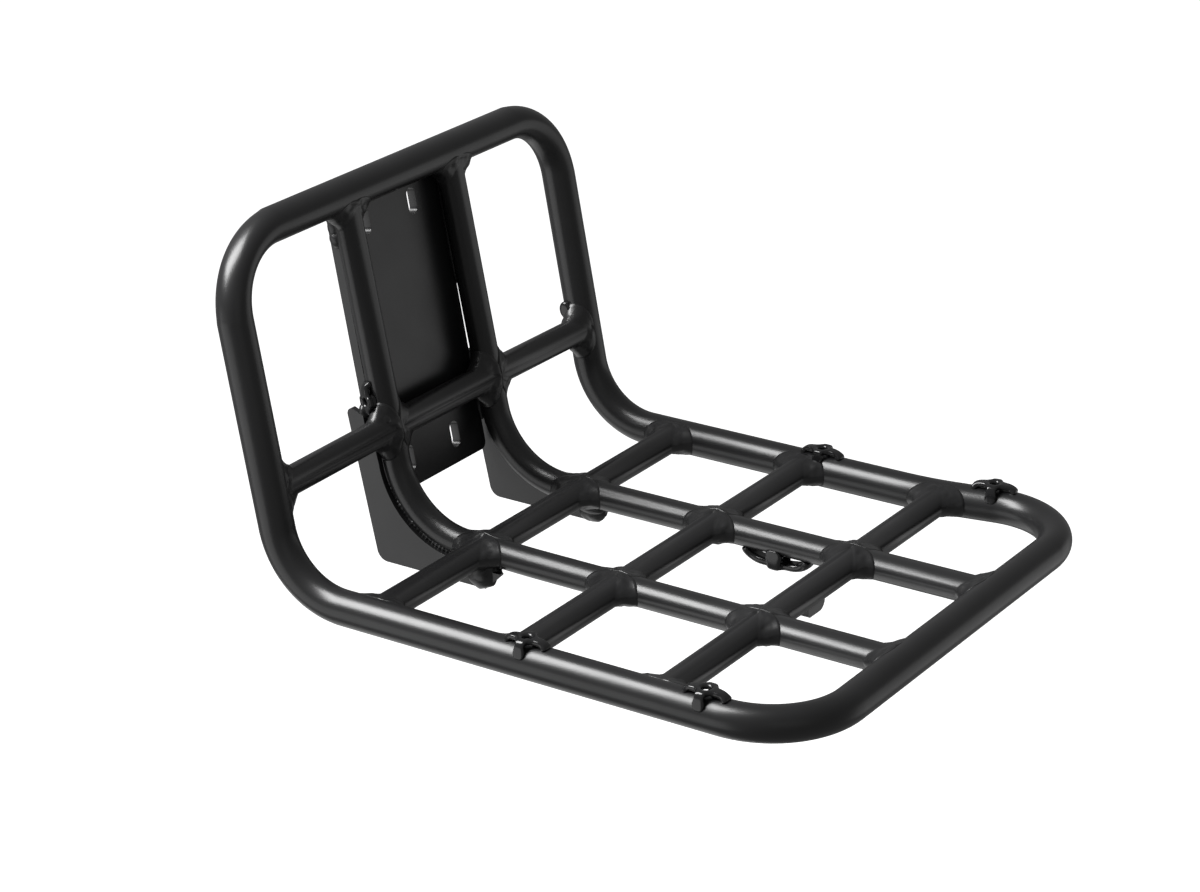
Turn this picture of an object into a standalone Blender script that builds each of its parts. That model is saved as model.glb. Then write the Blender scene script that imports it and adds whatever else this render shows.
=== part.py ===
"""Rigid welded luggage carrier: a tube deck with a raised, slightly leaning back frame.

+X is the way the deck reaches, +Y is across it, +Z is up. The origin is on the rear
face of the mounting plate, where the carrier bears against whatever holds it.
"""
import math

import bmesh
import bpy
from mathutils import Matrix, Vector

# Overall layout, in metres
HALF_WIDTH = 0.167          # outer loop centreline, measured from the middle
DECK_REACH = 0.357          # corner to the front rail centreline
UPRIGHT_HEIGHT = 0.2155     # corner to the top rail centreline
LEAN = math.radians(10.5)   # how far the upright frame leans back
INNER_RIGHT = 0.055         # right inner tube
LEFT_UPRIGHT = -0.0508      # left inner tube on the leaning frame
LEFT_KINK = (0.100, -0.0542)    # where its deck span straightens
LEFT_FRONT = -0.0555        # the same tube at the front rail
INNER_FORWARD = 0.0025      # how far the inner tubes stand ahead of the loop at the corner

# Tubes
LOOP_RADIUS = 0.011
INNER_RADIUS = 0.009
CROSS_RADIUS = 0.009
LOWER_BEND = 0.0485
INNER_BEND = 0.055
KINK_BEND = 0.3
FRONT_BEND = 0.051
TOP_BEND = 0.0455
TUBE_SIDES = 16
BEND_STEP = math.radians(10.0)
WELD_GAP = 0.0003

# The far rail turns outward a little before its front corner
FLARE_START = 0.252
FLARE_OUT = 0.019
FLARE_BEND = 0.2

# Rows of cross tubes, from the corner
DECK_ROWS = {"rear": 0.062, "middle": 0.1625, "front": 0.262}
UPRIGHT_ROW = 0.064
ROW_RISE = 0.0015           # the upright row is this much higher between the inner tubes

# Mounting plate, behind the inner tubes
PLATE_FRONT = -0.0094
PLATE_THICK = 0.0062
PLATE_REAR = PLATE_FRONT - PLATE_THICK
PLATE_BOTTOM = 0.017
PLATE_TOP = 0.2075
PLATE_HALF = 0.0530
PLATE_CORNER = 0.005
SLOT_LENGTH = 0.0173
SLOT_WIDTH = 0.0084
SLOT_HALF_PITCH = 0.02375
SLOT_HEIGHTS = (0.0357, 0.1908)

# Gussets, on the outer flank of each inner tube
GUSSET_Y = 0.0608
GUSSET_THICK = 0.004
GUSSET_BACK = -0.020
GUSSET_TOP = 0.0815
GUSSET_TOP_FRONT = 0.0765
GUSSET_NOTCH = (0.0558, -0.0078)    # height and depth where it clears the upright row
GUSSET_BOTTOM = -0.0215
GUSSET_FRONT_LOW = 0.069
GUSSET_FRONT_HIGH = 0.080
# Curved edge, from the tube's centreline: at the deck end and at the upright end
GUSSET_EDGES = {-1.0: (0.0072, 0.0052), 1.0: (0.0089, 0.0089)}

# Four-legged anchors
ANCHOR_HOLE = 0.00275
ANCHOR_RING = 0.0066
ANCHOR_THICK = 0.0027
ANCHOR_RISE = 0.0045
ANCHOR_LONG = 0.0148
ANCHOR_LEG_HALF = 0.0037
LEG_WRAP = 0.93             # how far a side leg reaches round, as a share of the seat
SHORT_WRAP = 0.74           # the same where a cross tube is in the way
RAIL_ANCHORS = {"rear": 0.174, "front": 0.295}
UPRIGHT_ANCHOR = 0.0855
UPRIGHT_ANCHOR_TURN = math.radians(25.0)    # turned from straight out towards the rear
UPRIGHT_ANCHOR_LONG = 0.0128
UPRIGHT_ANCHOR_SHORT = 0.0094   # the leg that would meet the cross tube
UPRIGHT_FRONT_WRAP = 0.55
DECK_ANCHOR_X = 0.2085
DECK_ANCHOR_LONG = 0.0245
DECK_ANCHOR_RISE = 0.0088
DECK_ANCHOR_LEG_HALF = 0.0046

# Lug under the front row
LUG_LEFT = -0.0045
LUG_RIGHT = 0.0150
LUG_BOTTOM = -0.0156
LUG_THICK = 0.0035
LUG_CORNERS = (0.0025, 0.0062)

# Lug on the inner flank of the right upright
EAR_HEIGHT = 0.0790
EAR_HALF_HEIGHT = 0.0060
EAR_DEPTH = -0.0040
EAR_HALF_DEPTH = 0.0046
EAR_THICK = 0.0028

# Height of the origin on the plate, from the corner
ORIGIN_HEIGHT = 0.113

UP = Vector((-math.sin(LEAN), 0.0, math.cos(LEAN)))
FORWARD = Vector((math.cos(LEAN), 0.0, math.sin(LEAN)))
ACROSS = Vector((0.0, 1.0, 0.0))
ALONG = Vector((1.0, 0.0, 0.0))
VERTICAL = Vector((0.0, 0.0, 1.0))
CORNER = -(UP * ORIGIN_HEIGHT + FORWARD * PLATE_REAR)

COAT = {"color": (0.030, 0.030, 0.031), "rough": 0.42, "metal": 0.0}
GLOSS = {"color": (0.018, 0.018, 0.019), "rough": 0.25, "metal": 0.0}


def on_deck(x, y, z=0.0):
    """Point measured from the corner along the deck."""
    return CORNER + Vector((x, y, z))


def on_upright(height, y, depth=0.0):
    """Point measured from the corner up the leaning frame."""
    return CORNER + UP * height + FORWARD * depth + ACROSS * y


def clear_scene():
    for thing in list(bpy.data.objects):
        bpy.data.objects.remove(thing, do_unlink=True)


def left_inner(x):
    """Y and slope of the left inner tube's centreline on the deck."""
    kink_x, kink_y = LEFT_KINK
    if x < kink_x:
        slope = (kink_y - LEFT_UPRIGHT) / (kink_x - INNER_FORWARD)
    else:
        slope = (LEFT_FRONT - kink_y) / (DECK_REACH - kink_x)
    return kink_y + (x - kink_x) * slope, slope


def inner_depth(height):
    """How far the inner tubes stand ahead of the loop, at a height up the frame."""
    return INNER_FORWARD * (1.0 - height / UPRIGHT_HEIGHT)


def make_material(name, look):
    material = bpy.data.materials.new(name)
    material.use_nodes = True
    shader = material.node_tree.nodes["Principled BSDF"]
    shader.inputs["Base Color"].default_value = (*look["color"], 1.0)
    shader.inputs["Roughness"].default_value = look["rough"]
    shader.inputs["Metallic"].default_value = look["metal"]
    return material


def add_node(name, points, faces, look):
    """One closed body as a named object with its own material."""
    shape = bmesh.new()
    corners = [shape.verts.new(p) for p in points]
    for face in faces:
        shape.faces.new([corners[i] for i in face])
    bmesh.ops.recalc_face_normals(shape, faces=shape.faces)
    mesh = bpy.data.meshes.new(name)
    shape.to_mesh(mesh)
    shape.free()
    thing = bpy.data.objects.new(name, mesh)
    bpy.context.scene.collection.objects.link(thing)
    mesh.materials.append(make_material(name + "_coat", look))
    return thing


# ---------------------------------------------------------------- tubes

def fillet(before, corner, after, radius):
    """Arc points that round one corner of a centreline."""
    into = (corner - before).normalized()
    out = (after - corner).normalized()
    turn = into.angle(out)
    reach = radius * math.tan(turn / 2.0)
    start = corner - into * reach
    axis = into.cross(out).normalized()
    centre = start + axis.cross(into) * radius
    steps = max(2, math.ceil(turn / BEND_STEP))
    arc = []
    for i in range(steps + 1):
        spin = Matrix.Rotation(turn * i / steps, 3, axis)
        arc.append(centre + spin @ (start - centre))
    return arc


def centreline(corners, radii, closed):
    """Rounds every corner that has a radius; the ends of an open line stay."""
    count = len(corners)
    line = []
    for i, corner in enumerate(corners):
        if radii[i] is None:
            line.append(corner.copy())
            continue
        line += fillet(corners[i - 1], corner, corners[(i + 1) % count], radii[i])
    return line


def tangents(line, closed):
    count = len(line)
    result = []
    for i in range(count):
        ahead = line[(i + 1) % count] - line[i]
        behind = line[i] - line[i - 1]
        if not closed and i == 0:
            behind = ahead
        if not closed and i == count - 1:
            ahead = behind
        result.append((ahead.normalized() + behind.normalized()).normalized())
    return result


def sweep_rings(line, side, radius, closed):
    """Rings of points round a line; side is carried along without twisting."""
    directions = tangents(line, closed)
    rings = []
    side = side.copy()
    for i, point in enumerate(line):
        if i:
            side = directions[i - 1].rotation_difference(directions[i]) @ side
        side = (side - directions[i] * side.dot(directions[i])).normalized()
        other = directions[i].cross(side)
        stretch = ring_stretch(line, directions, i, closed)
        rings.append(ring_points(point, side, other, radius, stretch))
    return rings


def ring_stretch(line, directions, i, closed):
    """Where two straight spans meet, the mitre ring widens in the bend's plane."""
    if not closed and i in (0, len(line) - 1):
        return None
    span = (line[(i + 1) % len(line)] - line[i]).normalized()
    lean = span.angle(directions[i])
    axis = directions[i].cross(span)
    if lean < 1e-6:
        return None
    return axis.normalized().cross(directions[i]), 1.0 / math.cos(lean)


def ring_points(point, side, other, radius, stretch):
    ring = []
    for k in range(TUBE_SIDES):
        angle = math.tau * k / TUBE_SIDES
        arm = (side * math.cos(angle) + other * math.sin(angle)) * radius
        if stretch:
            way, factor = stretch
            arm += way * arm.dot(way) * (factor - 1.0)
        ring.append(point + arm)
    return ring


def skin(rings, closed):
    faces = []
    spans = len(rings) if closed else len(rings) - 1
    for i in range(spans):
        a = i * TUBE_SIDES
        b = ((i + 1) % len(rings)) * TUBE_SIDES
        for k in range(TUBE_SIDES):
            n = (k + 1) % TUBE_SIDES
            faces.append((a + k, a + n, b + n, b + k))
    return faces


def saddle_cap(first):
    """Cap of strips that lie along the tube the end is coped to."""
    half = TUBE_SIDES // 2
    quarter = TUBE_SIDES // 4
    faces = []
    for k in range(quarter):
        upper = [k, k + 1, half - k - 1, half - k]
        lower = [(-v) % TUBE_SIDES for v in upper]
        for loop in (upper, lower):
            kept = list(dict.fromkeys(loop))
            faces.append([first + v for v in kept])
    return faces


def cope(ring, joint, outward, side, other, mate, slope=0.0):
    """Moves an end ring back until it sits round the tube it is welded to."""
    coped = []
    for point in ring:
        arm = point - joint
        along = arm.dot(side)
        height = arm.dot(other)
        back = math.sqrt((mate + WELD_GAP) ** 2 - height ** 2)
        back *= math.sqrt(1.0 + slope ** 2)
        shift = slope * along - back
        coped.append(joint + side * along + other * height + outward * shift)
    return coped


def tube_body(name, rings, look=COAT):
    points = [p for ring in rings for p in ring]
    faces = skin(rings, False)
    faces += saddle_cap(0)
    faces += saddle_cap(len(points) - TUBE_SIDES)
    return add_node(name, points, faces, look)


def far_rail(x):
    """Centreline Y and slope of the far rail at distance x along the deck."""
    turn = math.atan2(FLARE_OUT, DECK_REACH - FLARE_START)
    start = FLARE_START - FLARE_BEND * math.tan(turn / 2.0)
    stop = start + FLARE_BEND * math.sin(turn)
    if x <= start:
        return HALF_WIDTH, 0.0
    if x < stop:
        drop = math.sqrt(FLARE_BEND ** 2 - (x - start) ** 2)
        return HALF_WIDTH + FLARE_BEND - drop, (x - start) / drop
    slope = math.tan(turn)
    return HALF_WIDTH + (x - FLARE_START) * slope, slope


def build_perimeter():
    """The outer loop, one tube bent at seven places and butted into a ring."""
    corners = [
        on_upright(UPRIGHT_HEIGHT, -HALF_WIDTH),
        on_deck(0.0, -HALF_WIDTH),
        on_deck(DECK_REACH, -HALF_WIDTH),
        on_deck(DECK_REACH, HALF_WIDTH + FLARE_OUT),
        on_deck(FLARE_START, HALF_WIDTH),
        on_deck(0.0, HALF_WIDTH),
        on_upright(UPRIGHT_HEIGHT, HALF_WIDTH),
    ]
    radii = [TOP_BEND, LOWER_BEND, FRONT_BEND, FRONT_BEND, FLARE_BEND, LOWER_BEND, TOP_BEND]
    line = centreline(corners, radii, True)
    rings = sweep_rings(line, FORWARD, LOOP_RADIUS, True)
    points = [p for ring in rings for p in ring]
    return add_node("perimeter_tube", points, skin(rings, True), COAT)


def build_inner(name, corners, radii):
    """Longitudinal tube from the top rail down and forward to the front rail."""
    line = centreline(corners, radii, False)
    rings = sweep_rings(line, ACROSS, INNER_RADIUS, False)
    rings[0] = cope(rings[0], corners[0], UP, ACROSS, FORWARD, LOOP_RADIUS)
    rings[-1] = cope(rings[-1], corners[-1], ALONG, ACROSS, VERTICAL, LOOP_RADIUS)
    return tube_body(name, rings)


def build_inner_tubes():
    left = [
        on_upright(UPRIGHT_HEIGHT, LEFT_UPRIGHT),
        on_deck(INNER_FORWARD, LEFT_UPRIGHT),
        on_deck(*LEFT_KINK),
        on_deck(DECK_REACH, LEFT_FRONT),
    ]
    right = [
        on_upright(UPRIGHT_HEIGHT, INNER_RIGHT),
        on_deck(INNER_FORWARD, INNER_RIGHT),
        on_deck(DECK_REACH, INNER_RIGHT),
    ]
    build_inner("left_inner_tube", left, [None, INNER_BEND, KINK_BEND, None])
    build_inner("right_inner_tube", right, [None, INNER_BEND, None])


def build_cross(name, along, other, joints):
    """Straight cross tube between two longitudinals, coped at both ends."""
    rings = []
    for (joint, mate, slope), outward in zip(joints, (-1.0, 1.0)):
        ring = ring_points(joint, along, other, CROSS_RADIUS, None)
        rings.append(cope(ring, joint, ACROSS * outward, along, other, mate, slope * outward))
    return tube_body(name, rings)


def deck_joints(x):
    """Where a deck row meets the four longitudinals, near to far."""
    left_y, left_slope = left_inner(x)
    far_y, far_slope = far_rail(x)
    return [
        (on_deck(x, -HALF_WIDTH), LOOP_RADIUS, 0.0),
        (on_deck(x, left_y), INNER_RADIUS, left_slope),
        (on_deck(x, INNER_RIGHT), INNER_RADIUS, 0.0),
        (on_deck(x, far_y), LOOP_RADIUS, far_slope),
    ]


def upright_joints():
    depth = inner_depth(UPRIGHT_ROW)
    high = UPRIGHT_ROW + ROW_RISE
    return [
        (on_upright(UPRIGHT_ROW, -HALF_WIDTH), LOOP_RADIUS, 0.0),
        (on_upright(high, LEFT_UPRIGHT, depth), INNER_RADIUS, 0.0),
        (on_upright(high, INNER_RIGHT, depth), INNER_RADIUS, 0.0),
        (on_upright(UPRIGHT_ROW, HALF_WIDTH), LOOP_RADIUS, 0.0),
    ]


def build_cross_tubes():
    parts = ("left", "centre", "right")
    for row, x in DECK_ROWS.items():
        joints = deck_joints(x)
        for i, part in enumerate(parts):
            name = f"deck_{row}_cross_tube_{part}"
            build_cross(name, ALONG, VERTICAL, joints[i:i + 2])
    joints = upright_joints()
    for i, part in enumerate(parts):
        build_cross(f"upright_cross_tube_{part}", UP, FORWARD, joints[i:i + 2])


# ---------------------------------------------------------------- sheet parts

def arc(centre, radius, start, stop, steps):
    """Points of an arc in a plane; angles in degrees."""
    result = []
    for i in range(steps + 1):
        angle = math.radians(start + (stop - start) * i / steps)
        result.append((centre[0] + radius * math.cos(angle), centre[1] + radius * math.sin(angle)))
    return result


def obround(centre):
    """A slot that is longer up the plate than across it."""
    radius = SLOT_WIDTH / 2.0
    offset = SLOT_LENGTH / 2.0 - radius
    top = arc((centre[0], centre[1] + offset), radius, 0, 180, 8)
    bottom = arc((centre[0], centre[1] - offset), radius, 180, 360, 8)
    return top + bottom


def flat_faces(loops):
    """Triangles that fill the first loop less the others, as point indices."""
    shape = bmesh.new()
    edges = []
    for loop in loops:
        corners = [shape.verts.new((u, v, 0.0)) for u, v in loop]
        for i in range(len(corners)):
            edges.append(shape.edges.new((corners[i - 1], corners[i])))
    shape.verts.index_update()
    bmesh.ops.triangle_fill(shape, use_beauty=True, edges=edges, normal=(0.0, 0.0, 1.0))
    shape.verts.index_update()
    faces = [[v.index for v in face.verts] for face in shape.faces]
    shape.free()
    return faces


def sheet_body(loops, front, back):
    """Points and faces of a flat sheet between two mapped copies of an outline."""
    flat = [p for loop in loops for p in loop]
    count = len(flat)
    points = [front(u, v) for u, v in flat] + [back(u, v) for u, v in flat]
    fill = flat_faces(loops)
    faces = [tuple(f) for f in fill] + [tuple(i + count for i in reversed(f)) for f in fill]
    start = 0
    for loop in loops:
        size = len(loop)
        for i in range(size):
            a = start + i
            b = start + (i + 1) % size
            faces.append((a, b, b + count, a + count))
        start += size
    return points, faces


def plate_outline():
    """Outline of the plate as width and height, counter-clockwise."""
    soft = PLATE_CORNER
    low = arc((PLATE_HALF - soft, PLATE_BOTTOM + soft), soft, -90, 0, 6)
    high = arc((PLATE_HALF - soft, PLATE_TOP - soft), soft, 0, 90, 6)
    right = low + high
    left = [(-u, v) for u, v in reversed(right)]
    return right + left


def build_plate():
    loops = [plate_outline()]
    for height in SLOT_HEIGHTS:
        for side in (-1.0, 1.0):
            loops.append(obround((side * SLOT_HALF_PITCH, height)))
    points, faces = sheet_body(
        loops,
        lambda u, v: on_upright(v, u, PLATE_FRONT),
        lambda u, v: on_upright(v, u, PLATE_REAR),
    )
    return add_node("mounting_plate", points, faces, COAT)


def gusset_outline(deck_edge, upright_edge):
    """Outline seen from the side, as distances along and above the deck."""
    turn = math.pi / 2.0 - LEAN
    reach = INNER_BEND * math.tan(turn / 2.0)
    lean = math.degrees(LEAN)

    def leaning(height, depth):
        point = UP * height + FORWARD * depth
        return point.x, point.z

    centre = (INNER_FORWARD + reach, INNER_BEND)
    bend = []
    for i in range(11):
        angle = math.radians(270.0) - turn * i / 10
        radius = INNER_BEND + deck_edge + (upright_edge - deck_edge) * i / 10
        bend.append((centre[0] + radius * math.cos(angle), centre[1] + radius * math.sin(angle)))
    under = -CROSS_RADIUS - WELD_GAP
    step = DECK_ROWS["rear"] - CROSS_RADIUS - 0.0012
    front = [(GUSSET_FRONT_LOW, GUSSET_BOTTOM), (GUSSET_FRONT_HIGH, under - 0.0012)]
    front += [(GUSSET_FRONT_HIGH, under), (step, under), (step, -deck_edge)]
    notch, depth = GUSSET_NOTCH
    top = [leaning(notch, inner_depth(notch) - upright_edge), leaning(notch, depth)]
    top.append(leaning(GUSSET_TOP_FRONT, depth))
    back = []
    for i in range(5):
        angle = math.pi / 2.0 * i / 4
        height = GUSSET_TOP - 0.004 + 0.004 * math.cos(angle)
        back.append(leaning(height, GUSSET_BACK + 0.004 - 0.004 * math.sin(angle)))
    foot = leaning(0.0, GUSSET_BACK)
    slope = math.tan(LEAN)
    heel_x = foot[0] - (GUSSET_BOTTOM - foot[1]) * slope
    radius = 0.008
    centre = (heel_x + radius * (1.0 + math.sin(LEAN)) / math.cos(LEAN), GUSSET_BOTTOM + radius)
    heel = arc(centre, radius, 180 + lean, 270, 5)
    return front + bend + top + back + heel


def build_gusset(name, side):
    outline = gusset_outline(*GUSSET_EDGES[side])
    inner = side * (GUSSET_Y - GUSSET_THICK / 2.0)
    outer = side * (GUSSET_Y + GUSSET_THICK / 2.0)
    points, faces = sheet_body(
        [outline],
        lambda u, v: on_deck(u, inner, v),
        lambda u, v: on_deck(u, outer, v),
    )
    return add_node(name, points, faces, COAT)


def build_lug():
    """Small rounded tab welded under the middle of the front row."""
    x = DECK_ROWS["front"]
    top = -CROSS_RADIUS - WELD_GAP
    small, large = LUG_CORNERS
    left = arc((LUG_LEFT + small, LUG_BOTTOM + small), small, 180, 270, 4)
    right = arc((LUG_RIGHT - large, LUG_BOTTOM + large), large, 270, 360, 6)
    outline = left + right + [(LUG_RIGHT, top), (LUG_LEFT, top)]
    points, faces = sheet_body(
        [outline],
        lambda u, v: on_deck(x + LUG_THICK / 2.0, u, v),
        lambda u, v: on_deck(x - LUG_THICK / 2.0, u, v),
    )
    return add_node("under_deck_lug", points, faces, COAT)


def build_ear():
    """Oval pad flat against the inner flank of the right upright."""
    outline = []
    for i in range(16):
        angle = math.tau * i / 16
        depth = EAR_DEPTH + EAR_HALF_DEPTH * math.cos(angle)
        outline.append((depth, EAR_HEIGHT + EAR_HALF_HEIGHT * math.sin(angle)))
    outer = HALF_WIDTH - LOOP_RADIUS - WELD_GAP
    points, faces = sheet_body(
        [outline],
        lambda u, v: on_upright(v, outer - EAR_THICK, u),
        lambda u, v: on_upright(v, outer, u),
    )
    return add_node("right_upright_lug", points, faces, GLOSS)


# ---------------------------------------------------------------- anchors

def curve_point(ends, bend, t):
    """Point on an arm's section, level at the ring and steep at the foot."""
    (d0, z0), (d1, z1) = ends
    a = (d0 + (d1 - d0) * bend, z0)
    b = (d1, z1 + (z0 - z1) * bend)
    s = 1.0 - t
    weights = (s ** 3, 3 * s * s * t, 3 * s * t * t, t ** 3)
    spots = ((d0, z0), a, b, (d1, z1))
    d = sum(w * p[0] for w, p in zip(weights, spots))
    z = sum(w * p[1] for w, p in zip(weights, spots))
    return d, z


def arm_stations(tube, top, reach, across_tube, upper, half):
    """Rows of local points along one arm; across_tube arms wrap the tube's side."""
    seat = tube + WELD_GAP
    end = reach if upper else reach - ANCHOR_THICK
    level = top if upper else top - ANCHOR_THICK
    steps = 5
    rows = []
    for i in range(1, steps + 1):
        row = []
        for c in (-1.0, -1.0 / 3.0, 1.0 / 3.0, 1.0):
            width = half * c
            rub = end if across_tube else width
            foot = math.sqrt(seat ** 2 - rub ** 2)
            d, z = curve_point(((ANCHOR_RING, level), (end, foot)), 0.62, i / steps)
            row.append((d, width, z))
        rows.append(row)
    return rows


def build_anchor(name, seat_point, ways, tube, reaches, rise, wraps=(LEG_WRAP, LEG_WRAP),
                 half=ANCHOR_LEG_HALF):
    """Ring on four legs: two along the tube and two down its sides."""
    long_way, wide_way, out_way = ways
    top = tube + rise
    sides = 16
    points = []
    faces = []

    def add(along, across, height):
        points.append(seat_point + long_way * along + wide_way * across + out_way * height)
        return len(points) - 1

    def circle(radius, height):
        ids = []
        for k in range(sides):
            angle = math.tau * (k + 0.5) / sides
            ids.append(add(radius * math.cos(angle), radius * math.sin(angle), height))
        return ids

    hole = (circle(ANCHOR_HOLE, top), circle(ANCHOR_HOLE, top - ANCHOR_THICK))
    rim = (circle(ANCHOR_RING, top), circle(ANCHOR_RING, top - ANCHOR_THICK))
    for k in range(sides):
        n = (k + 1) % sides
        faces.append((hole[0][k], rim[0][k], rim[0][n], hole[0][n]))
        faces.append((hole[1][k], hole[1][n], rim[1][n], rim[1][k]))
        faces.append((hole[0][k], hole[0][n], hole[1][n], hole[1][k]))
        if k % 4 == 1:
            faces.append((rim[0][k], rim[1][k], rim[1][n], rim[0][n]))
    for quarter in range(4):
        turn = math.tau * quarter / 4
        cos, sin = round(math.cos(turn)), round(math.sin(turn))
        wide = quarter % 2 == 1
        share = wraps[0] if quarter == 1 else wraps[1]
        reach = reaches[0] if quarter == 0 else reaches[1]
        length = share * (tube + WELD_GAP) if wide else reach
        start = [(quarter * 4 - 2 + j) % sides for j in range(4)]
        last = [[rim[0][k] for k in start], [rim[1][k] for k in start]]
        stations = [arm_stations(tube, top, length, wide, u, half) for u in (True, False)]
        for upper_row, lower_row in zip(*stations):
            fresh = []
            for row in (upper_row, lower_row):
                fresh.append([add(d * cos - w * sin, d * sin + w * cos, z) for d, w, z in row])
            for j in range(3):
                faces.append((last[0][j], fresh[0][j], fresh[0][j + 1], last[0][j + 1]))
                faces.append((last[1][j], last[1][j + 1], fresh[1][j + 1], fresh[1][j]))
            for j in (0, 3):
                faces.append((last[0][j], last[1][j], fresh[1][j], fresh[0][j]))
            last = fresh
        for j in range(3):
            faces.append((last[0][j], last[1][j], last[1][j + 1], last[0][j + 1]))
    return add_node(name, points, faces, GLOSS)


def build_anchors():
    rail_legs = (ANCHOR_LONG, ANCHOR_LONG)
    deck_legs = (DECK_ANCHOR_LONG, DECK_ANCHOR_LONG)
    upright_legs = (UPRIGHT_ANCHOR_LONG, UPRIGHT_ANCHOR_SHORT)
    for row, x in RAIL_ANCHORS.items():
        inward = SHORT_WRAP if row == "rear" else LEG_WRAP
        y, slope = far_rail(x)
        way = Vector((1.0, slope, 0.0)).normalized()
        near_ways = (ALONG, ACROSS, VERTICAL)
        far_ways = (way, VERTICAL.cross(way), VERTICAL)
        build_anchor(f"near_rail_{row}_anchor", on_deck(x, -HALF_WIDTH), near_ways,
                     LOOP_RADIUS, rail_legs, ANCHOR_RISE, (inward, LEG_WRAP))
        build_anchor(f"far_rail_{row}_anchor", on_deck(x, y), far_ways,
                     LOOP_RADIUS, rail_legs, ANCHOR_RISE, (LEG_WRAP, inward))
    cos, sin = math.cos(UPRIGHT_ANCHOR_TURN), math.sin(UPRIGHT_ANCHOR_TURN)
    out = -(ACROSS * cos + FORWARD * sin)
    seat = on_upright(UPRIGHT_ANCHOR, LEFT_UPRIGHT, inner_depth(UPRIGHT_ANCHOR))
    build_anchor("left_upright_anchor", seat, (UP, UP.cross(-out), out), INNER_RADIUS,
                 upright_legs, ANCHOR_RISE, (LEG_WRAP, UPRIGHT_FRONT_WRAP))
    build_anchor("under_deck_anchor", on_deck(DECK_ANCHOR_X, INNER_RIGHT),
                 (ALONG, ACROSS, -VERTICAL), INNER_RADIUS, deck_legs, DECK_ANCHOR_RISE,
                 half=DECK_ANCHOR_LEG_HALF)


clear_scene()
build_perimeter()
build_inner_tubes()
build_cross_tubes()
build_plate()
build_gusset("left_gusset", -1.0)
build_gusset("right_gusset", 1.0)
build_anchors()
build_lug()
build_ear()
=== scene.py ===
"""Studio scene for the rigid welded luggage carrier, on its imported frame."""

import math

import bmesh
import bpy
from mathutils import Matrix, Vector, noise


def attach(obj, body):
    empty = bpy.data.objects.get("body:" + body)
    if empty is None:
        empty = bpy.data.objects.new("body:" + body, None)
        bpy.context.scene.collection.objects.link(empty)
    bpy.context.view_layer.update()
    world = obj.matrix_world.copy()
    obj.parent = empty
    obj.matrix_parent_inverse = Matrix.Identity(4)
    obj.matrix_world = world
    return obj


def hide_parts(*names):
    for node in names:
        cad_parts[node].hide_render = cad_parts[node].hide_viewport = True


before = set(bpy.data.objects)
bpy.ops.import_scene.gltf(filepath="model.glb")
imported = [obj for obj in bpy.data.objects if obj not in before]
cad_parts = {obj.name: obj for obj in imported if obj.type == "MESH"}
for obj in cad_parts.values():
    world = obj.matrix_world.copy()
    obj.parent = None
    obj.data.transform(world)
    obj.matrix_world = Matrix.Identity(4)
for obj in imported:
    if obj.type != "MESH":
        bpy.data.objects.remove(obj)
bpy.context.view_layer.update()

# Layout, in metres. The tubes follow the same lines as the solids.
ORIGIN_HEIGHT = 0.113       # from the corner line up to the frame's origin
HALF_WIDTH = 0.167          # outer loop centreline, measured from the middle
DECK_REACH = 0.357          # corner to the front rail centreline
UPRIGHT_HEIGHT = 0.2155     # corner to the top rail centreline
LEAN = math.radians(10.5)   # how far the upright frame leans back
INNER_RIGHT = 0.055         # right inner tube
LEFT_UPRIGHT = -0.0508      # left inner tube on the leaning frame
LEFT_KINK = (0.100, -0.0542)    # where its deck span straightens
LEFT_FRONT = -0.0555        # the same tube at the front rail
INNER_FORWARD = 0.0025      # how far the inner tubes stand ahead of the loop at the corner

# Tubes, and how far each bend's outer wall is flattened
LOOP_RADIUS = 0.011
INNER_RADIUS = 0.009
CROSS_RADIUS = 0.009
LOWER_BEND = 0.0485
INNER_BEND = 0.055
KINK_BEND = 0.3
FRONT_BEND = 0.051
TOP_BEND = 0.0455
FLARE_START = 0.252
FLARE_OUT = 0.019
FLARE_BEND = 0.2
LOOP_FLATS = (0.20, 0.07, 0.05, 0.05, 0.0, 0.05, 0.12)
INNER_FLAT = 0.04
FLAT_SPREAD = 0.6           # the power that spreads the flattening along a bend

# Rows of cross tubes, from the corner
DECK_ROWS = {"rear": 0.062, "middle": 0.1625, "front": 0.262}
UPRIGHT_ROW = 0.064
ROW_RISE = 0.0015           # the upright row is this much higher between the inner tubes

# Mounting plate
PLATE_FRONT = -0.0094
PLATE_THICK = 0.0062
PLATE_REAR = PLATE_FRONT - PLATE_THICK
PLATE_BOTTOM = 0.017
PLATE_TOP = 0.2075
PLATE_HALF = 0.0530
PLATE_CORNER = 0.005
SLOT_LENGTH = 0.0173
SLOT_WIDTH = 0.0084
SLOT_HALF_PITCH = 0.02375
SLOT_HEIGHTS = (0.0357, 0.1908)

# Gussets
GUSSET_Y = 0.0608
GUSSET_THICK = 0.004
GUSSET_BACK = -0.020
GUSSET_TOP = 0.0815
GUSSET_TOP_FRONT = 0.0765
GUSSET_NOTCH = (0.0558, -0.0078)    # height and depth where it clears the upright row
GUSSET_BOTTOM = -0.0215
GUSSET_FRONT_LOW = 0.069
GUSSET_FRONT_HIGH = 0.080
GUSSET_CLEAR = 0.0003       # under the rear cross tube
GUSSET_STEP = 0.0012        # before that tube, and the depth of the tip beyond it
GUSSET_TOP_ROUND = 0.004
GUSSET_HEEL_ROUND = 0.008
# Curved edge, from the tube's centreline: at the deck end and at the upright end
GUSSET_EDGES = {-1.0: (0.0070, 0.0050), 1.0: (0.0078, 0.0078)}

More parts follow.
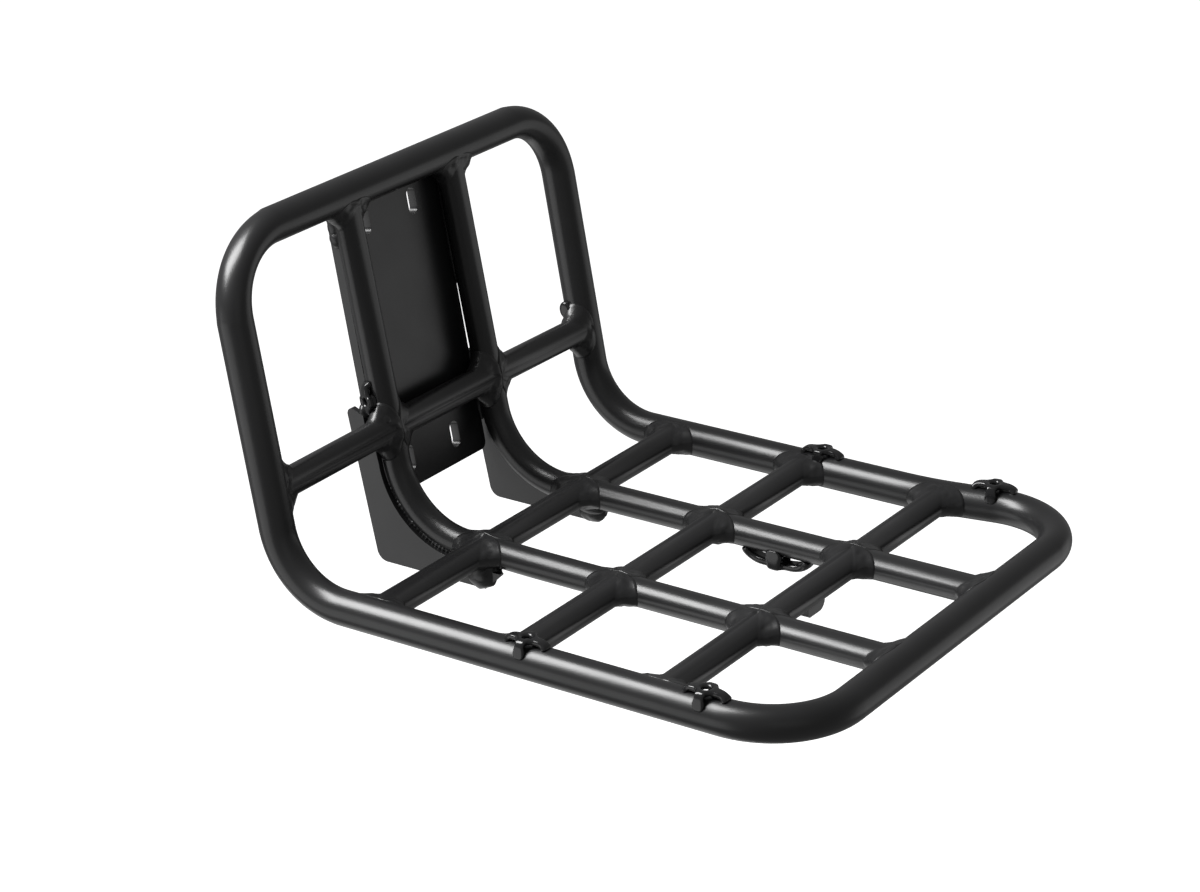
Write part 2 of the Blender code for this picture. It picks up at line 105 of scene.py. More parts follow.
# Four-legged anchors
ANCHOR_HOLE = 0.0026
ANCHOR_RING = 0.0066
ANCHOR_THICK = 0.0035
ANCHOR_RISE = 0.0047
ANCHOR_LONG = 0.0150
ANCHOR_LEG_HALF = 0.0038
ANCHOR_SIDES = 16
RING_LIP = 0.0006           # how far the hole's edge is rounded down
RING_CROWN = 0.0003         # how far the ring is domed
LEG_BEND = 0.60
FOOT_SINK = 0.0006          # how far a foot's underside is inside the tube
FOOT_LIMIT = 0.98           # how far round its height is followed, as a share of the seat
LEG_WRAP = 0.93             # how far a side leg reaches round, as a share of the seat
SHORT_WRAP = 0.74           # the same where a cross tube is in the way
UPRIGHT_FRONT_WRAP = 0.58
# Width along a leg: waisted, broad above the foot, rounded at its tip
LEG_SHAPE = ((0.18, 0.92), (0.38, 0.80), (0.58, 0.88), (0.78, 1.10), (0.92, 1.06), (1.0, 0.55))
RAIL_ANCHORS = {"rear": 0.174, "front": 0.295}
UPRIGHT_ANCHOR = 0.0855
UPRIGHT_ANCHOR_TURN = math.radians(25.0)    # turned from straight out towards the rear
UPRIGHT_ANCHOR_LEGS = (0.0128, 0.0094)      # up, and down short of the cross tube
DECK_ANCHOR_X = 0.2085
DECK_ANCHOR_LONG = 0.0247
DECK_ANCHOR_RISE = 0.0088
DECK_ANCHOR_LEG_HALF = 0.0058
DECK_ANCHOR_THICK = 0.0050

# Lug under the front row, and oval pad on the right upright's inner flank
LUG_LEFT = -0.0045
LUG_RIGHT = 0.0150
LUG_BOTTOM = -0.0156
LUG_THICK = 0.0058
LUG_CORNERS = (0.0025, 0.0062)
LUG_SINK = 0.0012           # how far its top is inside the cross tube
EAR_HEIGHT = 0.0790
EAR_HALF_HEIGHT = 0.0060
EAR_DEPTH = -0.0040
EAR_HALF_DEPTH = 0.0046
# The pad's profile: share of its outline, and depth in the upright; below zero is proud of it
EAR_PROFILE = ((1.0, 0.0012), (1.0, -0.0012), (0.97, -0.0020), (0.86, -0.0026),
               (0.60, -0.0030), (0.30, -0.0032))

# Welds at the tubes' ends
WELD_SIZE = 0.0102
WELD_KNEE = 0.42            # how far the fillet is drawn into its corner
WELD_OWN_LEG = 0.34         # the least leg on the tube itself, as a share of the size
WELD_MATE_LEG = 0.24        # the least leg on the tube it meets
WELD_SPREAD = 1.2           # the power that spreads the legs round the tube
WELD_HUMP = 0.0011          # where two equal tubes' walls run level
HUMP_SPREAD = 6             # the power that keeps it to the crown
HUMP_FADE = 0.002           # the difference in radius that leaves no hump
WELD_SINK = 0.0012          # how far the last row is inside the tube it meets
WELD_PROUD = 0.0005         # mean height of the unevenness
WELD_FADE = 0.35            # how far past the last row that shows it dies out
FADE_SPREAD = 0.8           # the power that spreads it across the fillet
# Unevenness: how many per metre, its height, and an offset into the noise
WELD_SWELLS = ((130.0, 0.0014, Vector((0.0, 0.0, 0.0))),
               (330.0, 0.0006, Vector((5.0, 2.0, 9.0))),
               (800.0, 0.0003, Vector((0.0, 0.0, 0.0))))

# Separate runs and lumps of weld
LUMP_SWELLS = ((150.0, 0.16), (520.0, 0.03))    # how many per metre, share of the size
SEAM_SWELL = (180.0, 0.35)
SEAM_DAB = 4.5              # steps from one dab to the next
SEAM_DAB_RISE = 0.10
SEAM_STEP = 0.0006
SEAM_TIP = 0.25             # the share of the radius left at a seam's ends
SEAM_TAPER = 3.0            # the share it gains per half length

# Lumps: half lengths along their own axes, and where they lie
GUSSET_END_SIZES = (0.0110, 0.0062, 0.0094)
GUSSET_END_X = GUSSET_FRONT_LOW - 0.0035
GUSSET_END_Z = -0.0125
GUSSET_JOINT_SIZES = (0.0105, 0.0060, 0.0050)
GUSSET_JOINT_X = DECK_ROWS["rear"] + 0.004
GUSSET_JOINT_Z = -0.0105
GUSSET_CAP_SIZES = (0.0062, 0.0042, 0.0052)
GUSSET_CAP_PLACE = (0.0790, -GUSSET_Y + 0.0035, -0.0085)
UPRIGHT_JOINT_SIZES = (0.0068, 0.0060, 0.0060)
UPRIGHT_JOINT_PLACE = (UPRIGHT_ROW + 0.0085, LEFT_UPRIGHT - 0.0075, 0.0035)
STACK_SIZES = (0.0040, 0.0048, 0.0062)
STACK_HEIGHTS = (0.2020, 0.1950, 0.1880)
STACK_Y = -PLATE_HALF - 0.0008
STACK_DEPTH = (PLATE_FRONT + PLATE_REAR) / 2.0 + 0.0032
PLATE_LOW_SIZES = (0.0040, 0.0030, 0.0240)
PLATE_LOW_PLACE = (0.0600, PLATE_HALF, PLATE_FRONT + 0.0010)

# Runs: on the plate, its heights and y; beside a gusset, its y at the deck and upright ends
LEFT_PLATE_RUN = (0.060, 0.186, -PLATE_HALF + 0.0016)
LEFT_PLATE_BEAD = 0.0013
RIGHT_PLATE_RUN = (0.128, 0.200, PLATE_HALF + 0.0002)
RIGHT_PLATE_BEAD = 0.0018
LEFT_GUSSET_RUN = (-0.0574, -0.0562)
LEFT_GUSSET_BEAD = 0.0026
LEFT_GROOVE = 0.0008        # how far the left one is drawn in towards its tube
RIGHT_GUSSET_RUN = (0.0590, 0.0590)
RIGHT_GUSSET_BEAD = 0.0018

# Mesh detail
SIDES = 64
BEND_STEP = math.radians(3.0)
WELD_STEPS = 9
LUMP_SIDES = 40
LUMP_RINGS = 24
SEAM_SIDES = 14
MATCH_STRIDE = 8            # points skipped when two rings are lined up
EAR_SIDES = 32
EDGE_STEPS = 32             # along a gusset's curved edge
SEAM_STEPS = 140            # along the weld beside it
SHARP_ANGLE = 30.0
BEVEL_ANGLE = 40.0
BEVEL_SEGMENTS = 3
PLATE_BEVEL = 0.0005
GUSSET_BEVEL = 0.0004
LUG_BEVEL = 0.0006
ANCHOR_SMOOTHING = 2

UP = Vector((-math.sin(LEAN), 0.0, math.cos(LEAN)))
FORWARD = Vector((math.cos(LEAN), 0.0, math.sin(LEAN)))
ACROSS = Vector((0.0, 1.0, 0.0))
ALONG = Vector((1.0, 0.0, 0.0))
VERTICAL = Vector((0.0, 0.0, 1.0))
CORNER = -(UP * ORIGIN_HEIGHT + FORWARD * PLATE_REAR)


def on_deck(x, y, z=0.0):
    return CORNER + Vector((x, y, z))


def on_upright(height, y, depth=0.0):
    return CORNER + UP * height + FORWARD * depth + ACROSS * y


def left_inner(x):
    """Y and slope of the left inner tube's centreline on the deck."""
    kink_x, kink_y = LEFT_KINK
    if x < kink_x:
        slope = (kink_y - LEFT_UPRIGHT) / (kink_x - INNER_FORWARD)
    else:
        slope = (LEFT_FRONT - kink_y) / (DECK_REACH - kink_x)
    return kink_y + (x - kink_x) * slope, slope


def inner_depth(height):
    return INNER_FORWARD * (1.0 - height / UPRIGHT_HEIGHT)


# ---------------------------------------------------------------- materials

# Slow changes over the coat: noise scale, noise detail, and how far they go either way
SHEEN = (38.0, 3.0, 0.025)
TINT = (22.0, 4.0, 0.14)
NOISE_SPAN = (0.3, 0.7)     # most of the noise lies between these
PEEL_DETAIL = 2.0
PEEL_DEPTH = 0.0002


def coat(name, look):
    """Powder coat: satin, with a fine orange-peel skin and slow changes in sheen."""
    material = bpy.data.materials.new(name)
    material.use_nodes = True
    tree = material.node_tree
    nodes, links = tree.nodes, tree.links
    shader = nodes["Principled BSDF"]
    where = nodes.new("ShaderNodeTexCoord")

    def texture(scale, detail):
        speckle = nodes.new("ShaderNodeTexNoise")
        speckle.inputs["Scale"].default_value = scale
        speckle.inputs["Detail"].default_value = detail
        links.new(where.outputs["Object"], speckle.inputs["Vector"])
        return speckle.outputs["Fac"]

    def around(middle, scale, detail, reach):
        span = nodes.new("ShaderNodeMapRange")
        span.inputs["From Min"].default_value = NOISE_SPAN[0]
        span.inputs["From Max"].default_value = NOISE_SPAN[1]
        span.inputs["To Min"].default_value = middle - reach
        span.inputs["To Max"].default_value = middle + reach
        links.new(texture(scale, detail), span.inputs["Value"])
        return span.outputs["Result"]

    links.new(around(look["rough"], *SHEEN), shader.inputs["Roughness"])
    mix = nodes.new("ShaderNodeVectorMath")
    mix.operation = "SCALE"
    mix.inputs[0].default_value = look["color"]
    links.new(around(1.0, *TINT), mix.inputs["Scale"])
    links.new(mix.outputs["Vector"], shader.inputs["Base Color"])
    bump = nodes.new("ShaderNodeBump")
    bump.inputs["Strength"].default_value = look["bump"]
    bump.inputs["Distance"].default_value = PEEL_DEPTH
    links.new(texture(look["peel"], PEEL_DETAIL), bump.inputs["Height"])
    links.new(bump.outputs["Normal"], shader.inputs["Normal"])
    shader.inputs["Metallic"].default_value = 0.0
    shader.inputs["IOR"].default_value = 1.5
    return material


COAT = coat("black_powder_coat", {
    "color": (0.0125, 0.0125, 0.013), "rough": 0.31, "peel": 1500.0, "bump": 0.12})
GLOSS = coat("anchor_coat", {
    "color": (0.010, 0.010, 0.0105), "rough": 0.17, "peel": 1200.0, "bump": 0.06})


# ---------------------------------------------------------------- mesh tools

def add_piece(name, points, faces, material, nodes=(), sharp=None):
    """Closed mesh that rides the root body, in place of the given nodes' solids."""
    shape = bmesh.new()
    corners = [shape.verts.new(p) for p in points]
    for face in faces:
        shape.faces.new([corners[i] for i in face])
    bmesh.ops.recalc_face_normals(shape, faces=shape.faces)
    for face in shape.faces:
        face.smooth = True
    mesh = bpy.data.meshes.new(name)
    shape.to_mesh(mesh)
    shape.free()
    if sharp is not None:
        mesh.set_sharp_from_angle(angle=math.radians(sharp))
    thing = bpy.data.objects.new(name, mesh)
    bpy.context.scene.collection.objects.link(thing)
    mesh.materials.append(material)
    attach(thing, "root")
    if nodes:
        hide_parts(*nodes)
    return thing


def round_edges(thing, width):
    bevel = thing.modifiers.new("edge_round", "BEVEL")
    bevel.width = width
    bevel.segments = BEVEL_SEGMENTS
    bevel.limit_method = "ANGLE"
    bevel.angle_limit = math.radians(BEVEL_ANGLE)
    bevel.harden_normals = True


def soften(thing, levels):
    smooth = thing.modifiers.new("soften", "SUBSURF")
    smooth.levels = levels
    smooth.render_levels = levels


# ---------------------------------------------------------------- tubes

def fillet(before, corner, after, radius):
    """Points round a bend, each with its outward way and its share of the flattening."""
    into = (corner - before).normalized()
    out = (after - corner).normalized()
    turn = into.angle(out)
    start = corner - into * radius * math.tan(turn / 2.0)
    axis = into.cross(out).normalized()
    centre = start + axis.cross(into) * radius
    steps = max(3, math.ceil(turn / BEND_STEP))
    points = []
    for i in range(steps + 1):
        arm = Matrix.Rotation(turn * i / steps, 3, axis) @ (start - centre)
        strength = math.sin(math.pi * i / steps) ** FLAT_SPREAD
        points.append((centre + arm, arm.normalized(), strength))
    return points


def centreline(corners, radii, flats):
    """Points along a tube, with its corners rounded; a corner without a radius is an end."""
    line = []
    for i, corner in enumerate(corners):
        if radii[i] is None:
            line.append((corner.copy(), None, 0.0))
            continue
        after = corners[(i + 1) % len(corners)]
        for point, outward, strength in fillet(corners[i - 1], corner, after, radii[i]):
            line.append((point, outward, strength * flats[i]))
    return line


def tangents(points, closed):
    count = len(points)
    result = []
    for i in range(count):
        ahead = points[(i + 1) % count] - points[i]
        behind = points[i] - points[i - 1]
        if not closed and i == 0:
            behind = ahead
        if not closed and i == count - 1:
            ahead = behind
        result.append((ahead.normalized() + behind.normalized()).normalized())
    return result


def ring(point, side, other, radius, outward=None, flat=0.0):
    """Section of a tube, drawn in by a share of its reach on the outward side."""
    points = []
    for k in range(SIDES):
        angle = math.tau * k / SIDES
        arm = (side * math.cos(angle) + other * math.sin(angle)) * radius
        if outward is not None and flat:
            lean = arm.dot(outward)
            if lean > 0.0:
                arm -= outward * lean * flat
        points.append(point + arm)
    return points


def sweep(line, side, radius, closed):
    """Sections along a line, turned from one to the next without twist."""
    points = [entry[0] for entry in line]
    ways = tangents(points, closed)
    rings = []
    side = side.copy()
    for i, (point, outward, flat) in enumerate(line):
        if i:
            side = ways[i - 1].rotation_difference(ways[i]) @ side
        side = (side - ways[i] * side.dot(ways[i])).normalized()
        rings.append(ring(point, side, ways[i].cross(side), radius, outward, flat))
    return rings


def skin(count, closed, sides=SIDES):
    """Faces between a number of rings that follow one another in a list of points."""
    faces = []
    for i in range(count if closed else count - 1):
        a, b = i * sides, ((i + 1) % count) * sides
        for k in range(sides):
            n = (k + 1) % sides
            faces.append((a + k, a + n, b + n, b + k))
    return faces


def on_mate(corner, way, mate, reach, sink=0.0):
    """Point that is reach away from the corner, along the wall of the tube that's met.

    The corner and the way are each a part along that tube and a part round it.
    """
    turn = corner[1] + reach * way[1] / mate
    rim = mate - sink
    return Vector((corner[0] + reach * way[0], rim * math.sin(turn), rim * math.cos(turn)))


def weld_section(angle, radius, mate):
    """Points of the fillet's section at one angle round the tube, from its own wall out.

    Each is a place along the other tube, a height across it and a distance back
    from its centreline. The last is inside the other tube's wall, so it doesn't
    show. Where the two walls run level, at the crown, a low hump carries on.
    """
    a = radius * math.cos(angle)
    h = radius * math.sin(angle)
    psi = math.asin(max(-1.0, min(1.0, h / mate)))
    flank = abs(math.cos(angle)) ** WELD_SPREAD
    reach_own = WELD_SIZE * (WELD_OWN_LEG + (1.0 - WELD_OWN_LEG) * flank)
    reach_mate = WELD_SIZE * (WELD_MATE_LEG + (1.0 - WELD_MATE_LEG) * flank)
    lean = a / max(math.cos(psi), 1e-3)
    length = math.hypot(lean, h)
    corner = (a, psi)
    way = (lean / length, h / length)
    room = (math.pi / 2.0 - abs(psi)) * mate
    level = abs(way[1])
    if level * reach_mate > room:
        reach_mate = max(0.0, room / level)
    equal = max(0.0, 1.0 - (mate - radius) / HUMP_FADE)
    hump = WELD_HUMP * abs(math.sin(angle)) ** HUMP_SPREAD * equal
    back = math.sqrt(max(mate ** 2 - h ** 2, 0.0))
    start = Vector((a, h, back + reach_own))
    stop = on_mate(corner, way, mate, reach_mate, -hump)
    knee = ((start + stop) / 2.0).lerp(Vector((a, h, back)), WELD_KNEE)
    knee.y += math.copysign(hump, h)
    points = []
    for j in range(WELD_STEPS + 1):
        t = j / WELD_STEPS
        s = 1.0 - t
        points.append(start * (s * s) + knee * (2.0 * s * t) + stop * (t * t))
    points.append(on_mate(corner, way, mate, reach_mate, WELD_SINK))
    return points


def weld_rings(joint, outward, side, other, radius, mate, slope=0.0):
    """Rings of the fillet at a tube's end; side runs along the tube that's met."""
    rings = [[] for _ in range(WELD_STEPS + 2)]
    for k in range(SIDES):
        section = weld_section(math.tau * k / SIDES, radius, mate)
        for row, (along, height, back) in zip(rings, section):
            shift = slope * along - back * math.sqrt(1.0 + slope ** 2)
            row.append(joint + side * along + other * height + outward * shift)
    return lumpy(rings)


def lumpy(rings):
    """Hand-laid weld: broad swells, and short overlapping ripples along the seam."""
    for j in range(1, WELD_STEPS + 1):
        share = math.sin(math.pi * j / (WELD_STEPS + WELD_FADE)) ** FADE_SPREAD
        centre = sum(rings[j], Vector()) / SIDES
        for k, point in enumerate(rings[j]):
            rise = WELD_PROUD
            for scale, height, offset in WELD_SWELLS:
                rise += noise.noise(point * scale + offset) * height
            rings[j][k] = point + (point - centre).normalized() * rise * share
    return rings


def close_ends(points, faces, sides=SIDES):
    """Flat caps on the first and the last ring."""
    faces.append(tuple(range(sides)))
    faces.append(tuple(range(len(points) - sides, len(points))))


def far_rail(x):
    """Y and slope of the far rail's centreline, which turns outward before its corner."""
    turn = math.atan2(FLARE_OUT, DECK_REACH - FLARE_START)
    start = FLARE_START - FLARE_BEND * math.tan(turn / 2.0)
    stop = start + FLARE_BEND * math.sin(turn)
    if x <= start:
        return HALF_WIDTH, 0.0
    if x < stop:
        drop = math.sqrt(FLARE_BEND ** 2 - (x - start) ** 2)
        return HALF_WIDTH + FLARE_BEND - drop, (x - start) / drop
    slope = math.tan(turn)
    return HALF_WIDTH + (x - FLARE_START) * slope, slope


def build_loop():
    corners = [
        on_upright(UPRIGHT_HEIGHT, -HALF_WIDTH),
        on_deck(0.0, -HALF_WIDTH),
        on_deck(DECK_REACH, -HALF_WIDTH),
        on_deck(DECK_REACH, HALF_WIDTH + FLARE_OUT),
        on_deck(FLARE_START, HALF_WIDTH),
        on_deck(0.0, HALF_WIDTH),
        on_upright(UPRIGHT_HEIGHT, HALF_WIDTH),
    ]
    radii = [TOP_BEND, LOWER_BEND, FRONT_BEND, FRONT_BEND, FLARE_BEND, LOWER_BEND, TOP_BEND]
    rings = sweep(centreline(corners, radii, LOOP_FLATS), FORWARD, LOOP_RADIUS, True)
    points = [p for row in rings for p in row]
    add_piece("outer_loop", points, skin(len(rings), True), COAT, ["perimeter_tube"])


def match(row, target):
    """Order that lines a ring's points up with a neighbouring ring's."""
    best = None
    centre_r = sum(row, Vector()) / SIDES
    centre_t = sum(target, Vector()) / SIDES
    indices = list(range(SIDES))
    for order in (indices, indices[::-1]):
        for start in range(SIDES):
            turned = order[start:] + order[:start]
            cost = 0.0
            for k in range(0, SIDES, MATCH_STRIDE):
                cost += ((row[turned[k]] - centre_r) - (target[k] - centre_t)).length
            if best is None or cost < best[0]:
                best = (cost, turned)
    return best[1]


def add_tube(name, rings, node):
    points = [p for row in rings for p in row]
    faces = skin(len(rings), False)
    close_ends(points, faces)
    add_piece(name, points, faces, COAT, [node])


def build_inner(name, corners, radii):
    """Inner tube, with its bend slightly flattened and a weld at each end."""
    flats = [INNER_FLAT if radius == INNER_BEND else 0.0 for radius in radii]
    body = sweep(centreline(corners, radii, flats), ACROSS, INNER_RADIUS, False)[1:-1]
    first = weld_rings(corners[0], UP, ACROSS, -FORWARD, INNER_RADIUS, LOOP_RADIUS)
    last = weld_rings(corners[-1], ALONG, ACROSS, VERTICAL, INNER_RADIUS, LOOP_RADIUS)
    order = match(first[0], body[0])
    first = [[row[i] for i in order] for row in first]
    order = match(last[0], body[-1])
    last = [[row[i] for i in order] for row in last]
    add_tube(name, first[::-1] + body + last, name + "_tube")


def build_inner_tubes():
    left = [
        on_upright(UPRIGHT_HEIGHT, LEFT_UPRIGHT),
        on_deck(INNER_FORWARD, LEFT_UPRIGHT),
        on_deck(*LEFT_KINK),
        on_deck(DECK_REACH, LEFT_FRONT),
    ]
    right = [
        on_upright(UPRIGHT_HEIGHT, INNER_RIGHT),
        on_deck(INNER_FORWARD, INNER_RIGHT),
        on_deck(DECK_REACH, INNER_RIGHT),
    ]
    build_inner("left_inner", left, [None, INNER_BEND, KINK_BEND, None])
    build_inner("right_inner", right, [None, INNER_BEND, None])


def build_cross(row, part, along, other, joints):
    """Cross tube between two joints, each with its place, the met tube's radius and slope."""
    ends = []
    for (joint, mate, slope), way in zip(joints, (-1.0, 1.0)):
        ends.append(weld_rings(joint, ACROSS * way, along, other, CROSS_RADIUS, mate, slope * way))
    add_tube(f"{row}_cross_{part}", ends[0][::-1] + ends[1], f"{row}_cross_tube_{part}")


def deck_joints(x):
    left_y, left_slope = left_inner(x)
    far_y, far_slope = far_rail(x)
    return [
        (on_deck(x, -HALF_WIDTH), LOOP_RADIUS, 0.0),
        (on_deck(x, left_y), INNER_RADIUS, left_slope),
        (on_deck(x, INNER_RIGHT), INNER_RADIUS, 0.0),
        (on_deck(x, far_y), LOOP_RADIUS, far_slope),
    ]


def upright_joints():
    depth = inner_depth(UPRIGHT_ROW)
    high = UPRIGHT_ROW + ROW_RISE
    return [
        (on_upright(UPRIGHT_ROW, -HALF_WIDTH), LOOP_RADIUS, 0.0),
        (on_upright(high, LEFT_UPRIGHT, depth), INNER_RADIUS, 0.0),
        (on_upright(high, INNER_RIGHT, depth), INNER_RADIUS, 0.0),
        (on_upright(UPRIGHT_ROW, HALF_WIDTH), LOOP_RADIUS, 0.0),
    ]


def build_cross_tubes():
    parts = ("left", "centre", "right")
    for row, x in DECK_ROWS.items():
        joints = deck_joints(x)
        for i, part in enumerate(parts):
            build_cross(f"deck_{row}", part, ALONG, VERTICAL, joints[i:i + 2])
    joints = upright_joints()
    for i, part in enumerate(parts):
        build_cross("upright", part, UP, FORWARD, joints[i:i + 2])


# ---------------------------------------------------------------- sheet pieces

def arc(centre, radius, start, stop, steps):
    """Points of an arc between two angles in degrees."""
    result = []
    for i in range(steps + 1):
        angle = math.radians(start + (stop - start) * i / steps)
        result.append((centre[0] + radius * math.cos(angle), centre[1] + radius * math.sin(angle)))
    return result


def obround(centre):
    """Upright slot with round ends."""
    radius = SLOT_WIDTH / 2.0
    offset = SLOT_LENGTH / 2.0 - radius
    top = arc((centre[0], centre[1] + offset), radius, 0, 180, 20)
    bottom = arc((centre[0], centre[1] - offset), radius, 180, 360, 20)
    return top + bottom


def sheet_body(loops, front, back):
    """Flat sheet between two mapped copies of an outline with holes."""
    shape = bmesh.new()
    edges = []
    for loop in loops:
        corners = [shape.verts.new((u, v, 0.0)) for u, v in loop]
        for i in range(len(corners)):
            edges.append(shape.edges.new((corners[i - 1], corners[i])))
    shape.verts.index_update()
    bmesh.ops.triangle_fill(shape, use_beauty=True, edges=edges, normal=(0.0, 0.0, 1.0))
    shape.verts.index_update()
    fill = [[v.index for v in face.verts] for face in shape.faces]
    shape.free()
    flat = [p for loop in loops for p in loop]
    count = len(flat)
    points = [front(u, v) for u, v in flat] + [back(u, v) for u, v in flat]
    faces = [tuple(f) for f in fill] + [tuple(i + count for i in reversed(f)) for f in fill]
    start = 0
    for loop in loops:
        size = len(loop)
        for i in range(size):
            a = start + i
            b = start + (i + 1) % size
            faces.append((a, b, b + count, a + count))
        start += size
    return points, faces


def add_sheet(name, loops, front, back, width, node):
    """Sheet with small rounded edges."""
    points, faces = sheet_body(loops, front, back)
    sheet = add_piece(name, points, faces, COAT, [node], sharp=SHARP_ANGLE)
    round_edges(sheet, width)


def plate_outline():
    soft = PLATE_CORNER
    low = arc((PLATE_HALF - soft, PLATE_BOTTOM + soft), soft, -90, 0, 12)
    high = arc((PLATE_HALF - soft, PLATE_TOP - soft), soft, 0, 90, 12)
    right = low + high
    left = [(-u, v) for u, v in reversed(right)]
    return right + left


def build_plate():
    loops = [plate_outline()]
    for height in SLOT_HEIGHTS:
        for side in (-1.0, 1.0):
            loops.append(obround((side * SLOT_HALF_PITCH, height)))
    add_sheet(
        "plate",
        loops,
        lambda u, v: on_upright(v, u, PLATE_FRONT),
        lambda u, v: on_upright(v, u, PLATE_REAR),
        PLATE_BEVEL,
        "mounting_plate",
    )


def bend_edge(deck_edge, upright_edge, steps):
    """Curve that follows an inner tube's bend, at a distance that changes along it."""
    turn = math.pi / 2.0 - LEAN
    reach = INNER_BEND * math.tan(turn / 2.0)
    points = []
    for i in range(steps + 1):
        angle = math.radians(270.0) - turn * i / steps
        radius = INNER_BEND + deck_edge + (upright_edge - deck_edge) * i / steps
        x = INNER_FORWARD + reach + radius * math.cos(angle)
        points.append((x, INNER_BEND + radius * math.sin(angle)))
    return points


def leaning(height, depth):
    """X and z, from the corner, of a place on the leaning frame."""
    point = UP * height + FORWARD * depth
    return point.x, point.z


def gusset_outline(deck_edge, upright_edge):
    bend = bend_edge(deck_edge, upright_edge, EDGE_STEPS)
    under = -CROSS_RADIUS - GUSSET_CLEAR
    step = DECK_ROWS["rear"] - CROSS_RADIUS - GUSSET_STEP
    front = [(GUSSET_FRONT_LOW, GUSSET_BOTTOM), (GUSSET_FRONT_HIGH, under - GUSSET_STEP)]
    front += [(GUSSET_FRONT_HIGH, under), (step, under), (step, -deck_edge)]
    notch, depth = GUSSET_NOTCH
    top = [leaning(notch, inner_depth(notch) - upright_edge), leaning(notch, depth)]
    top.append(leaning(GUSSET_TOP_FRONT, depth))
    soft = GUSSET_TOP_ROUND
    back = []
    for depth, height in arc((soft, GUSSET_TOP - soft), soft, 90, 180, 12):
        back.append(leaning(height, GUSSET_BACK + depth))
    foot = leaning(0.0, GUSSET_BACK)
    heel_x = foot[0] - (GUSSET_BOTTOM - foot[1]) * math.tan(LEAN)
    soft = GUSSET_HEEL_ROUND
    centre = (heel_x + soft * (1.0 + math.sin(LEAN)) / math.cos(LEAN), GUSSET_BOTTOM + soft)
    heel = arc(centre, soft, 180 + math.degrees(LEAN), 270, 16)
    return front + bend + top + back + heel


def build_gusset(name, side):
    inner = side * (GUSSET_Y - GUSSET_THICK / 2.0)
    outer = side * (GUSSET_Y + GUSSET_THICK / 2.0)
    add_sheet(
        name + "_sheet",
        [gusset_outline(*GUSSET_EDGES[side])],
        lambda u, v: on_deck(u, inner, v),
        lambda u, v: on_deck(u, outer, v),
        GUSSET_BEVEL,
        name,
    )


def build_lug():
    x = DECK_ROWS["front"]
    top = -CROSS_RADIUS + LUG_SINK
    small, large = LUG_CORNERS
    left = arc((LUG_LEFT + small, LUG_BOTTOM + small), small, 180, 270, 12)
    right = arc((LUG_RIGHT - large, LUG_BOTTOM + large), large, 270, 360, 18)
    add_sheet(
        "deck_lug",
        [left + right + [(LUG_RIGHT, top), (LUG_LEFT, top)]],
        lambda u, v: on_deck(x + LUG_THICK / 2.0, u, v),
        lambda u, v: on_deck(x - LUG_THICK / 2.0, u, v),
        LUG_BEVEL,
        "under_deck_lug",
    )


def build_ear():
    """Oval pad, domed on its open face."""
    points = []
    face = HALF_WIDTH - LOOP_RADIUS
    for share, deep in EAR_PROFILE:
        for k in range(EAR_SIDES):
            angle = math.tau * k / EAR_SIDES
            depth = EAR_DEPTH + EAR_HALF_DEPTH * share * math.cos(angle)
            height = EAR_HEIGHT + EAR_HALF_HEIGHT * share * math.sin(angle)
            points.append(on_upright(height, face + deep, depth))
    faces = skin(len(EAR_PROFILE), False, EAR_SIDES)
    close_ends(points, faces, EAR_SIDES)
    add_piece("upright_lug", points, faces, GLOSS, ["right_upright_lug"])


# ---------------------------------------------------------------- anchors

def curve_point(ends, bend, t):
    """Point of a curve that leaves its first end level and reaches its second upright."""
    (d0, z0), (d1, z1) = ends
    a = (d0 + (d1 - d0) * bend, z0)
    b = (d1, z1 + (z0 - z1) * bend)
    s = 1.0 - t
    weights = (s ** 3, 3 * s * s * t, 3 * s * t * t, t ** 3)
    spots = ((d0, z0), a, b, (d1, z1))
    return tuple(sum(w * p[i] for w, p in zip(weights, spots)) for i in range(2))


def leg_rows(tube, top, reach, wide, upper, half, thick):
    """Rows of local points down one leg, on its upper or its lower face."""
    seat = tube - (0.0 if upper else FOOT_SINK)
    end = reach if upper else reach - thick
    level = top if upper else top - thick
    rows = []
    for t, waist in LEG_SHAPE:
        row = []
        for c in (-1.0, -1.0 / 3.0, 1.0 / 3.0, 1.0):
            width = half * c * waist
            rub = min(end, seat * FOOT_LIMIT) if wide else width
            foot = math.sqrt(max(seat ** 2 - rub ** 2, 0.0))
            d, z = curve_point(((ANCHOR_RING, level), (end, foot)), LEG_BEND, t)
            row.append((d, width, z))
        rows.append(row)
    return rows


